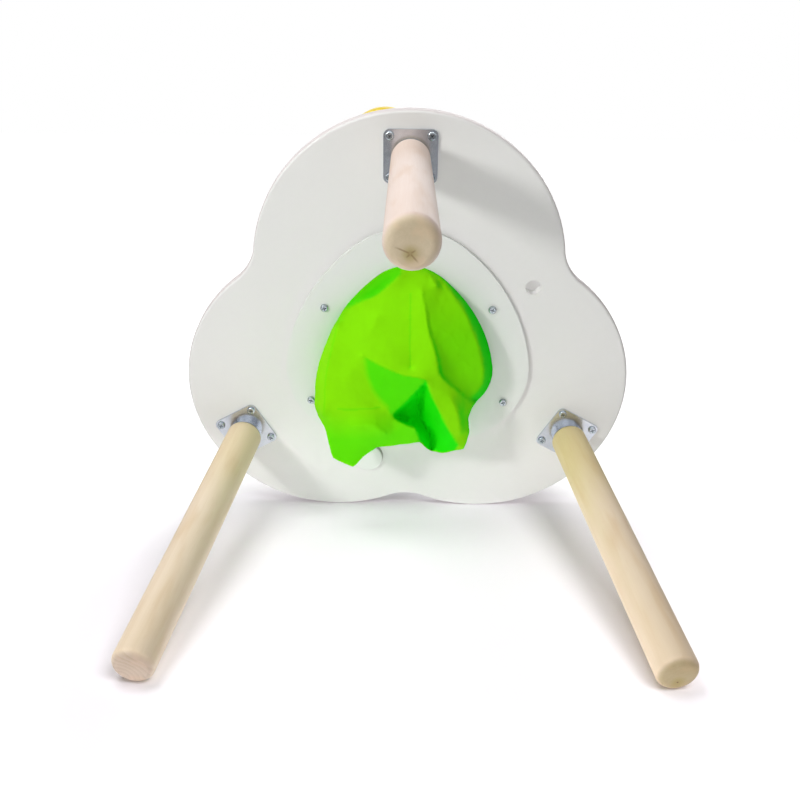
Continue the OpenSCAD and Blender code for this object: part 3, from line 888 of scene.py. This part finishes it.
EDGE: tuple[Point, ...] = (
    (-63.8, -18.1, 317.5), (-69.6, -10.8, 314.5), (-76.9, 0.8, 309.5), (-82.7, 14.8, 303.5), (-88.7, 30.4, 298.5),
    (-92.7, 51.2, 293.5), (-94.5, 74.4, 289.5), (-90.7, 85.6, 284.5), (-83.6, 95.8, 278.5), (-80.5, 106.1, 272.5),
    (-75.4, 124.3, 265.5), (-54.4, 132.1, 261.5), (-43.9, 121.7, 264.5), (-30.5, 112.2, 268.5), (-14.2, 111.6, 270.5),
    (0.8, 110.2, 272.5), (13.3, 109.2, 274.5), (20.7, 123.2, 283.5), (25.8, 130.2, 289.5), (37.6, 128.6, 283.5),
    (49.3, 121.5, 277.5), (58.9, 117.3, 275.5), (64.3, 99.2, 279.5), (62.3, 84.6, 281.5), (65.7, 74.3, 287.5),
    (69.2, 71.8, 293.5),
)
CREASE_SHADES: dict[str, float] = {
    "main_crease": 0.32,
    "left_line": 0.26,
    "low_crease": 0.36,
    "gutter_lip": 0.30,
    "pleat_valley": 0.40,
}


@dataclass(frozen=True)
class Viewpoint:
    """The camera's place and axes in metres, and the depth at which the view is laid flat in mm."""

    place: Point = (-0.00427, -0.40798, -0.51573)
    right: Point = (0.99992, -0.00901, 0.00905)
    up: Point = (-0.01236, -0.86064, 0.50907)
    forward: Point = (-0.0032, 0.50914, 0.86068)
    lens: float = 41.58
    plane: float = 900.0

    def spread(self, point: Vector) -> Vector:
        """Lay a point flat as it is seen.

        Args:
            point: a point in mm.

        Returns:
            Its place across the view, and its depth, in mm.
        """
        away = point - Vector(self.place) / MM
        depth = away.dot(Vector(self.forward))
        scale = self.plane / depth
        return Vector((away.dot(Vector(self.right)) * scale, away.dot(Vector(self.up)) * scale, depth))

    def lift(self, flat: Vector) -> Vector:
        """Undo spread.

        Args:
            flat: place across the view and depth.

        Returns:
            The point in mm.
        """
        scale = flat.z / self.plane
        across = Vector(self.right) * (flat.x * scale) + Vector(self.up) * (flat.y * scale)
        return Vector(self.place) / MM + across + Vector(self.forward) * flat.z


VIEW = Viewpoint()


def curve_through(points: Sequence[Vector], step: float, ease: float = 0.55) -> list[Vector]:
    """Lead a line through points.

    Args:
        points: the points in order.
        step: how far apart the line's own points are, in mm.
        ease: 0 for straight stretches with sharp corners, 1 for a smooth curve.

    Returns:
        The line's points, with the given ones among them.
    """
    ends = [points[0] * 2.0 - points[1], *points, points[-1] * 2.0 - points[-2]]
    line = [points[0].copy()]
    for a, b, c, d in zip(ends, ends[1:], ends[2:], ends[3:]):
        count = max(1, round((c - b).length / step))
        for i in range(1, count + 1):
            t = i / count
            smooth = (
                2.0 * b + (c - a) * t + (2.0 * a - 5.0 * b + 4.0 * c - d) * t * t + (3.0 * b - 3.0 * c + d - a) * t**3
            ) * 0.5
            line.append(b.lerp(c, t).lerp(smooth, ease))
    return line


def within(ring: np.ndarray, x: float, y: float) -> bool:
    """Tell whether a point lies inside an outline.

    Args:
        ring: the outline's points, one a row.
        x: the point's place across.
        y: the point's place up.

    Returns:
        True if it lies inside.
    """
    following = np.roll(ring, -1, axis=0)
    crosses = (ring[:, 1] > y) != (following[:, 1] > y)
    rise = np.where(crosses, following[:, 1] - ring[:, 1], 1.0)
    at = ring[:, 0] + (y - ring[:, 1]) / rise * (following[:, 0] - ring[:, 0])
    return bool(int(np.sum(crosses & (x < at))) % 2)


def neighbour_mean(values: np.ndarray, edges: np.ndarray) -> np.ndarray:
    """Average over the neighbours of each point.

    Args:
        values: one number a point.
        edges: pairs of points, one a row.

    Returns:
        The averages.
    """
    a, b = edges.T
    size = len(values)
    count = np.bincount(a, minlength=size) + np.bincount(b, minlength=size)
    total = np.bincount(a, values[b], size) + np.bincount(b, values[a], size)
    return total / np.maximum(count, 1)


def new_object(name: str, data: bpy.types.ID) -> bpy.types.Object:
    """Make an object in the scene.

    Args:
        name: its name.
        data: its mesh, lamp or camera.

    Returns:
        The object.
    """
    made = bpy.data.objects.new(name, data)
    bpy.context.scene.collection.objects.link(made)
    return made


@dataclass(frozen=True)
class Shade:
    """A stretch of the cloth between fold lines that turns from the light, where shade is painted as a fuller green.
    """

    border: np.ndarray
    depth: float
    soft: np.ndarray | None = None
    fade: float = 5.0

    def at(self, x: float, y: float) -> float:
        """Tell how much shade is painted at a point.

        Args:
            x: the point's place across the view.
            y: the point's place up.

        Returns:
            A number from 0 to 1.
        """
        if not within(self.border, x, y):
            return 0.0
        if self.soft is None:
            return self.depth
        gap = math.sqrt(float(np.min(np.sum((self.soft - (x, y)) ** 2, axis=1))))
        return self.depth * min(1.0, gap / self.fade)


@dataclass(frozen=True)
class BagSize:
    """How the bag's cloth is laid in mm, its flat cut in metres, and how the painted shade in its folds is found in
    metres.

    wave and ridge are the crumples' cycles a mm and their height; crease_end and pocket are places along EDGE.
    """

    step: float = 1.6
    rows: int = 12
    thickness: float = 0.7
    rim_z: float = 321.1
    inset: float = 0.15
    collar_z: float = 325.3
    collar_inset: float = 0.3
    first: float = 219.0
    last: float = 396.5
    flat_width: float = 0.30
    flat_length: float = 0.26
    flat_area: float = 0.052
    middle: Point = (0.0, 40.0, 318.0)
    rim_steps: int = 90
    gutter_span: float = 46.0
    gutter_steps: int = 30
    pulls: int = 900
    rays: int = 40
    ray_reach: float = 0.06
    ray_start: float = 0.0004
    ceiling: float = 0.3215
    lee_weight: float = 0.5
    lee_from: float = 0.22
    lee_span: float = 0.5
    fold_shade_from: float = 0.06
    fold_shade_span: float = 0.56
    wave: tuple[float, float] = (0.045, 0.8)
    ridge: tuple[float, float] = (0.09, 0.35)
    crease_end: int = 6
    pocket: tuple[int, int] = (16, 21)


class CatchBag(Assembly):
    """The lime cloth bag, a sheet laid over its fold lines and closed at the back to the mouth of the ring."""

    size = BagSize()
    mouth = Mouth()

    def __init__(self, frame: dict) -> None:
        """Lay out the sheet's border: the seen part of the rim, the lower edge, and two lines from edge to rim.
        """
        super().__init__(frame)
        size = self.size
        self.bm = bmesh.new()
        self.rim = self.arc(size.last - size.first, size.rim_steps)
        self.edge = curve_through([Vector(p) for p in EDGE], size.step, 0.3)
        self.joins = [
            [self.edge[end].lerp(self.rim[end], i / size.rows) for i in range(size.rows + 1)] for end in (0, -1)
        ]

    def build(self) -> bpy.types.Object:
        """Make the bag.

        Returns:
            The bag, riding on the table.
        """
        mesh = bpy.data.meshes.new("catch_bag_cloth")
        bm = self.bm
        self.front()
        far = self.back()
        for rim in (self.rim, far):
            self.collar(rim)
        bmesh.ops.remove_doubles(bm, verts=bm.verts[:], dist=0.02)
        bmesh.ops.recalc_face_normals(bm, faces=bm.faces[:])
        self.face_outward()
        self.soften()
        self.unwrap()
        bmesh.ops.scale(bm, vec=(MM, MM, MM), verts=bm.verts[:])
        for face in bm.faces:
            face.smooth = True
        bm.to_mesh(mesh)
        bm.free()
        bag = new_object("bag_cloth", mesh)
        # The painted shade of each point, which the cloth's finish reads.
        fold_shade = mesh.attributes.new("fold_shade", "FLOAT", "POINT")
        fold_shade.data.foreach_set("value", self.closeness(mesh))
        wall = bag.modifiers.new("cloth", "SOLIDIFY")
        wall.thickness = self.size.thickness * MM
        wall.offset = -1.0
        mesh.materials.append(LIME.material())
        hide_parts("catch_bag")
        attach(bag, "table")
        area = sum(face.area for face in mesh.polygons)
        LOG.info("built the bag: %d faces, %.4f square metres", len(mesh.polygons), area)
        return bag

    def arc(self, span: float, steps: int) -> list[Vector]:
        """Follow the rim from where it is first seen.

        Args:
            span: how far, in degrees.
            steps: in how many steps.

        Returns:
            The points.
        """
        size = self.size
        return [self.mouth.point(size.first + span * i / steps, size.rim_z, size.inset) for i in range(steps + 1)]

    def front(self) -> None:
        """Lay the seen sheet over its fold lines and store the painted shade of each point."""
        bm = self.bm
        loop = self.rim[:-1] + self.joins[1][::-1][:-1] + self.edge[::-1][:-1] + self.joins[0][:-1]
        points = [VIEW.spread(p) for p in loop]
        links = [(i, (i + 1) % len(loop)) for i in range(len(loop))]
        border = [p.to_2d() for p in points]
        # Painted shade along the sharpest creases, for the points of each fold line.
        pressed: dict[int, float] = {}
        for name in FOLDS:
            flat = [VIEW.spread(p) for p in self.fold(name)]
            pressed.update({len(points) + i: CREASE_SHADES.get(name, 0.0) for i in range(len(flat))})
            links += [(len(points) + i, len(points) + i + 1) for i in range(len(flat) - 1)]
            points += flat
        fixed = len(points)
        points += self.fill(border, [p.to_2d() for p in points])
        laid = delaunay_2d_cdt([p.to_2d() for p in points], links, [], 1, 1e-4)
        flat, edges, faces, from_points, from_links = laid[:5]
        depth = np.zeros(len(flat))
        held = np.zeros(len(flat), dtype=bool)
        for i, sources in enumerate(from_points):
            known = [s for s in sources if s < fixed]
            if known:
                depth[i] = points[known[0]].z
                held[i] = True
        for pair, sources in zip(edges, from_links):
            for i in pair:
                if sources and not held[i] and sources[0] < len(links):
                    a, b = (points[k] for k in links[sources[0]])
                    span = (b - a).to_2d()
                    t = (flat[i] - a.to_2d()).dot(span) / max(span.length_squared, 1e-9)
                    depth[i] = a.z + (b.z - a.z) * min(1.0, max(0.0, t))
                    held[i] = True
        depth = self.stretch(depth, held, edges)
        layer = bm.verts.layers.float.new("shade")
        verts = [bm.verts.new(VIEW.lift(Vector((p.x, p.y, float(d))))) for p, d in zip(flat, depth)]
        shades = self.shades()
        tones: list[list[float]] = [[] for _ in verts]
        for face in faces:
            bm.faces.new([verts[i] for i in face])
            middle = sum((flat[i] for i in face), Vector((0.0, 0.0))) / len(face)
            tone = max(shade.at(middle.x, middle.y) for shade in shades)
            for i in face:
                tones[i].append(tone)
        for vert, found, sources in zip(verts, tones, from_points):
            line = max((pressed.get(source, 0.0) for source in sources), default=0.0)
            vert[layer] = max(sum(found) / max(1, len(found)), line)

    def fold(self, name: str) -> list[Vector]:
        """Return the points of a fold line."""
        return curve_through([Vector(p) for p in FOLDS[name]], self.size.step)

    def seen(self, points: Iterable[Vector]) -> np.ndarray:
        """Return points laid flat as they are seen."""
        return np.array([tuple(VIEW.spread(p).to_2d()) for p in points])

    def shades(self) -> list[Shade]:
        """Mark the stretches that turn from the light and get painted shade.

        Returns:
            The stretches, as they are seen.
        """
        size, fold, seen = self.size, self.fold, self.seen
        edge = [Vector(p) for p in EDGE]
        arc = self.arc(size.gutter_span, size.gutter_steps)
        left = fold("pocket_left")
        low = curve_through([edge[size.crease_end], *(Vector(p) for p in FOLDS["low_crease"])], size.step)
        tip = min(range(len(left)), key=lambda i: left[i].x)
        first, last = size.pocket
        return [
            Shade(seen(left + edge[first:last] + fold("pocket_right")[::-1]), 0.96),
            Shade(seen(arc + fold("gutter_lip")[::-1]), 0.58),
            Shade(seen(fold("brow") + left[: tip + 1] + fold("valley")[::-1]), 0.66, seen(fold("valley"))),
            Shade(seen(low + left[tip:] + edge[size.crease_end : first + 1][::-1]), 0.54, seen(low), 30.0),
            Shade(seen(fold("lip") + fold("right_edge")[::-1]), 0.26, seen(fold("crown")), 60.0),
        ]

    def fill(self, border: list[Vector], taken: list[Vector]) -> list[Vector]:
        """Spread points evenly inside the border.

        Args:
            border: the sheet's outline as it is seen.
            taken: points that are there already.

        Returns:
            The new points, with no depth yet.
        """
        step = self.size.step
        ring = np.array([tuple(p) for p in border])
        old = np.array([tuple(p) for p in taken])
        low, high = ring.min(axis=0), ring.max(axis=0)
        new = []
        for row, y in enumerate(np.arange(low[1], high[1], step * 0.866)):
            for x in np.arange(low[0] + (row % 2) * step * 0.5, high[0], step):
                if within(ring, x, y) and np.min(np.sum((old - (x, y)) ** 2, axis=1)) > (0.6 * step) ** 2:
                    new.append(Vector((x, y, 0.0)))
        return new

    def stretch(self, depth: np.ndarray, held: np.ndarray, edges: Sequence[tuple[int, int]]) -> np.ndarray:
        """Draw the sheet taut between the lines that hold it.

        Args:
            depth: the depth of each point, known where it is held.
            held: which points are held.
            edges: the mesh's edges.

        Returns:
            The depths.
        """
        depth = np.where(held, depth, depth[held].mean())
        pairs = np.array(edges)
        for _ in range(self.size.pulls):
            depth = np.where(held, depth, neighbour_mean(depth, pairs))
        return depth

    def back(self) -> list[Vector]:
        """Close the bag from its lower edge to the far side of the mouth.

        Returns:
            The far part of the rim.
        """
        bm, size, edge = self.bm, self.size, self.edge
        lengths = [0.0]
        for a, b in zip(edge, edge[1:]):
            lengths.append(lengths[-1] + (b - a).length)
        away = Vector(VIEW.forward)
        columns = []
        for i, low in enumerate(edge):
            part = lengths[i] / lengths[-1]
            angle = size.first + (size.last - 360.0 - size.first) * part
            high = self.mouth.point(angle, size.rim_z, size.inset)
            swell = math.sin(math.pi * part) ** 0.6
            reach = (high - low).length
            first = low.lerp(high, 1 / 3).lerp(low + away * reach * 0.42, swell)
            second = low.lerp(high, 2 / 3).lerp(high - Z_AXIS * reach * 0.35, swell)
            column = []
            for k in range(size.rows + 1):
                t = k / size.rows
                s = 1.0 - t
                place = s**3 * low + 3 * s * s * t * first + 3 * s * t * t * second + t**3 * high
                column.append(bm.verts.new(place))
            columns.append(column)
        for column, join in zip((columns[0], columns[-1]), self.joins):
            for vert, place in zip(column, join):
                vert.co = place
        for left, right in zip(columns, columns[1:]):
            for k in range(size.rows):
                bm.faces.new([left[k], right[k], right[k + 1], left[k + 1]])
        return [column[-1].co.copy() for column in columns]

    def collar(self, rim: list[Vector]) -> None:
        """Lead the cloth from a part of the rim up inside the ring, where it is clamped.

        Args:
            rim: that part of the rim.
        """
        bm = self.bm
        low = [bm.verts.new(p) for p in rim]
        high = []
        for p in rim:
            angle = math.degrees(math.atan2(p.y - self.mouth.centre[1], p.x - self.mouth.centre[0]))
            high.append(bm.verts.new(self.mouth.point(angle, self.size.collar_z, self.size.collar_inset)))
        for i in range(len(rim) - 1):
            bm.faces.new([low[i], low[i + 1], high[i + 1], high[i]])

    def face_outward(self) -> None:
        """Turn the sheet's faces to the outside."""
        bm = self.bm
        middle = Vector(self.size.middle)
        total = sum(face.normal.dot(face.calc_center_median() - middle) * face.calc_area() for face in bm.faces)
        if total < 0.0:
            bmesh.ops.reverse_faces(bm, faces=bm.faces[:])

    def soften(self) -> None:
        """Round the folds a little and crumple the cloth finely."""
        bm, (wave, wave_height), (ridge, ridge_height) = self.bm, self.size.wave, self.size.ridge
        inner = [v for v in bm.verts if not v.is_boundary]
        bmesh.ops.smooth_vert(bm, verts=inner, factor=0.3, use_axis_x=True, use_axis_y=True, use_axis_z=True)
        bm.normal_update()
        moves = []
        for v in inner:
            p = v.co
            low = noise.noise(p * wave) * wave_height
            sharp = max(0.0, 1.0 - abs(noise.noise(p * ridge + Vector((7.0, 3.0, 1.0)))) * 2.0)
            moves.append((v, v.normal * (low + sharp**3 * ridge_height)))
        for v, move in moves:
            v.co += move

    def unwrap(self) -> None:
        """Give the cloth flat coordinates in metres."""
        layer = self.bm.loops.layers.uv.new("flat")
        for face in self.bm.faces:
            for loop in face.loops:
                flat = VIEW.spread(loop.vert.co)
                loop[layer].uv = (flat.x * MM, (flat.y + (flat.z - 800.0) * 0.3) * MM)

    def closeness(self, mesh: bpy.types.Mesh) -> np.ndarray:
        """Work out each point's painted shade: how far the folds round it shut it in, how far it is turned from the
        key lamp, and the shade stored for its stretch.

        Args:
            mesh: the bag's mesh, in metres.

        Returns:
            A number from 0, open, to 1, for each point.
        """
        size = self.size
        key = Vector(KEY).normalized()
        tree = BVHTree.FromPolygons([v.co.copy() for v in mesh.vertices], [tuple(p.vertices) for p in mesh.polygons])
        rays = []
        for i in range(size.rays):
            z = 1.0 - (i + 0.5) / size.rays
            turn = i * math.pi * (3.0 - math.sqrt(5.0))
            flat = math.sqrt(1.0 - z * z)
            rays.append(Vector((flat * math.cos(turn), flat * math.sin(turn), z)))
        total = sum(ray.z for ray in rays)
        result = np.zeros(len(mesh.vertices))
        for i, v in enumerate(mesh.vertices):
            turn = v.normal.to_track_quat("Z", "Y")
            start = v.co + v.normal * size.ray_start
            fold_shade = 0.0
            for ray in rays:
                way = turn @ ray
                hit = tree.ray_cast(start, way, size.ray_reach)
                free = size.ray_reach if hit[0] is None else hit[3]
                if way.z > 0.01:
                    free = min(free, max(0.0, size.ceiling - start.z) / way.z)
                fold_shade += ray.z * (1.0 - free / size.ray_reach)
            # Painted shade also falls on faces turned from the key lamp.
            lee = min(1.0, max(0.0, (size.lee_from - v.normal.dot(key)) / size.lee_span))
            result[i] = 1.0 - (1.0 - min(1.0, fold_shade / total)) * (1.0 - size.lee_weight * lee)
        edges = np.array([tuple(e.vertices) for e in mesh.edges])
        for _ in range(2):
            result = result * 0.5 + neighbour_mean(result, edges) * 0.5
        shade = np.zeros(len(result))
        mesh.attributes["shade"].data.foreach_get("value", shade)
        rise = np.clip((result - size.fold_shade_from) / size.fold_shade_span, 0.0, 1.0)
        return 1.0 - (1.0 - rise * rise * (3.0 - 2.0 * rise)) * (1.0 - shade)


# --- Camera, floor and lamps ---


class Reach(Enum):
    """What a lamp shines on."""

    FLOOR = "floor"
    TABLE = "table"


@dataclass(frozen=True)
class Lamp:
    """A soft lamp that looks at the table."""

    name: str
    towards: Point
    distance: float
    width: float
    power: float
    reach: Reach = Reach.TABLE
    colour: Colour = WHITE


LAMPS = (
    Lamp("key_left", KEY, 1.5, 0.24, 9.7, colour=(1.0, 0.995, 0.98)),
    Lamp("fill_right", (0.70, -0.35, -0.62), 1.6, 1.0, 0.8),
    Lamp("fill_front", (0.0, -0.75, -0.65), 1.8, 1.5, 3.6),
    Lamp("over_left", (-0.42, -0.89, 0.15), 1.6, 0.7, 11.0),
    Lamp("over_right", (0.3, -0.94, 0.15), 1.6, 0.7, 5.0),
    Lamp("floor_right", (0.34, -0.85, -0.45), 1.6, 0.9, 22.5, Reach.FLOOR),
    Lamp("floor_left", (-0.3, -0.93, 0.14), 1.6, 0.9, 15.5, Reach.FLOOR),
    Lamp("play_side", (0.15, 0.0, 0.99), 1.6, 1.2, 12.0),
    Lamp("play_floor", (0.2, -0.35, 0.9), 1.6, 1.2, 5.0, Reach.FLOOR),
)


@dataclass(frozen=True)
class StudioSize:
    """Where the lamps look and how the floors lie in metres, and the camera's sensor in mm."""

    aim: Point = (0.0, 0.03, 0.25)
    floor_half: float = 6.0
    floor_gap: float = 0.0008
    foot_z: float = 0.0080
    rim_drop: float = 0.006
    level_z: float = -0.0005
    sensor: float = 36.0
    clip: float = 50.0


class Studio(Assembly):
    """The camera, the white floor that the table lies on, and the lamps."""

    size = StudioSize()

    def __init__(self, frame: dict, pieces: Iterable[bpy.types.Object]) -> None:
        """Gather the table's pieces, which the lamps tell from the floors.

        Args:
            pieces: what was built on the frame.
        """
        super().__init__(frame)
        self.ground = bpy.data.collections.new("ground")
        self.table = bpy.data.collections.new("table")
        for piece in (*frame["nodes"].values(), *pieces):
            self.table.objects.link(piece)

    def build(self) -> None:
        """Set the whole studio."""
        self.camera()
        self.floors()
        self.world()
        for lamp in LAMPS:
            self.lamp(lamp)
        bpy.context.scene.view_settings.view_transform = "Standard"
        LOG.info("set the camera, floor and lamps")

    def camera(self) -> None:
        """Set the camera where the photograph was taken from."""
        data = bpy.data.cameras.new("camera")
        data.lens = VIEW.lens
        data.sensor_width = self.size.sensor
        data.clip_end = self.size.clip
        camera = new_object("camera", data)
        axes = Matrix((Vector(VIEW.right), Vector(VIEW.up), -Vector(VIEW.forward))).transposed().to_4x4()
        axes.translation = Vector(VIEW.place)
        camera.matrix_world = axes
        bpy.context.scene.camera = camera

    def floor(self, name: str, finish: Floor, middle: Vector, across: Vector) -> bpy.types.Object:
        """Lay one square floor.

        Args:
            name: its name.
            finish: its finish.
            middle: its middle.
            across: its second direction; the first is x, and x cross this points up from it.

        Returns:
            The floor.
        """
        half = self.size.floor_half
        corners = [(-1, -1), (1, -1), (1, 1), (-1, 1)]
        bm = bmesh.new()
        bm.faces.new([bm.verts.new(middle + (X_AXIS * a + across * b) * half) for a, b in corners])
        mesh = bpy.data.meshes.new(name)
        bm.to_mesh(mesh)
        bm.free()
        mesh.materials.append(finish.material())
        made = new_object(name, mesh)
        self.ground.objects.link(made)
        return made

    def floors(self) -> None:
        """Lay the floor under the tipped table, and one under its feet that shows only from above."""
        size = self.size
        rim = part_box("table_top")[1]
        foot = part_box("leg_left")[1]
        low = Vector((0.0, foot.y + size.floor_gap, size.foot_z))
        high = Vector((0.0, rim.y + size.floor_gap, rim.z - size.rim_drop))
        self.floor("floor", FLOOR, low, (high - low).normalized())
        level = self.floor("floor_level", LEVEL_FLOOR, Vector((0.0, 0.0, size.level_z)), Y_AXIS)
        for ray in ("diffuse", "glossy", "transmission", "shadow"):
            setattr(level, f"visible_{ray}", False)

    def world(self) -> None:
        """Make the white surroundings, dimmer for the table than for the camera."""
        world = bpy.data.worlds.new("white")
        bpy.context.scene.world = world
        world.use_nodes = True
        g = Graph(world.node_tree)
        path = g.node("ShaderNodeLightPath")
        seen = g.math("MAXIMUM", g.out(path, "Is Camera Ray"), g.out(path, "Is Transmission Ray"))
        strength = 0.15 + seen * 0.85 + g.out(path, "Is Glossy Ray") * 0.5
        lit = g.node("ShaderNodeBackground", {"Color": rgba(WHITE), "Strength": strength})
        g.end(g.out(lit), "ShaderNodeOutputWorld")

    def lamp(self, lamp: Lamp) -> None:
        """Hang one lamp.

        Args:
            lamp: where it hangs and how bright it is.
        """
        data = bpy.data.lights.new(lamp.name, "AREA")
        data.shape = "DISK"
        data.size = lamp.width
        data.energy = lamp.power
        data.color = lamp.colour
        made = new_object(lamp.name, data)
        towards = Vector(lamp.towards).normalized()
        place = Matrix.Translation(Vector(self.size.aim) + towards * lamp.distance)
        made.matrix_world = place @ towards.to_track_quat("Z", "Y").to_matrix().to_4x4()
        made.visible_camera = False
        made.light_linking.receiver_collection = self.ground if lamp.reach is Reach.FLOOR else self.table
        made.light_linking.blocker_collection = self.table


# --- Making ---


def main() -> None:
    """Load the frame and make everything in order."""
    logging.basicConfig(level=logging.INFO, format="%(name)s: %(message)s")
    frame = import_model()
    Tabletop(frame).dress()
    LegSet(frame).dress()
    PlaySide(frame).dress()
    bag = CatchBag(frame).build()
    Studio(frame, [bag]).build()


if __name__ == "__main__":
    main()
